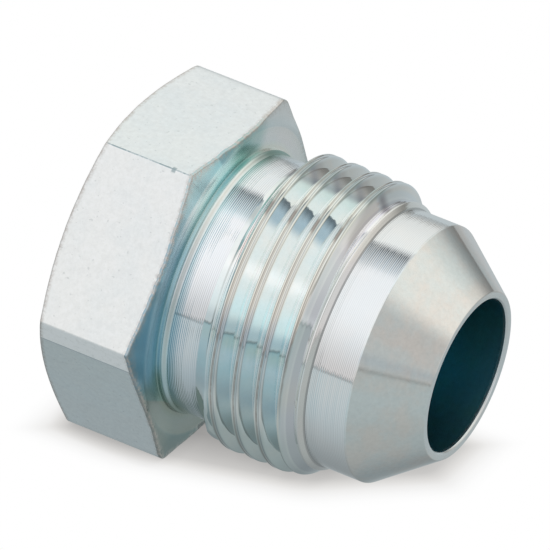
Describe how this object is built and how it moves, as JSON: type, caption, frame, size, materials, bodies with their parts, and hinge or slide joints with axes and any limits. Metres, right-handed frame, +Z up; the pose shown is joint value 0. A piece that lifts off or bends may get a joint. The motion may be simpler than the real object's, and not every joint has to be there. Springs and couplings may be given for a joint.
{
  "type": "hex head flare plug",
  "caption": "Threaded steel plug with a hex head, a relief neck, a 37 degree cone nose and a blind drilled bore, which closes a flare fitting.",
  "frame": {"origin": "centre of the bounding box on the surface that the plug lies on", "axes": "+X along the plug's axis from the head towards the nose, +Z up, with one hex flat down"},
  "size_m": [0.0242, 0.0232, 0.0204],
  "materials": {
    "zinc_plate": "bright zinc plate with a clear blue passivate over turned and drawn steel"
  },
  "bodies": {
    "root": {"plug": "zinc_plate"}
  },
  "joints": []
}
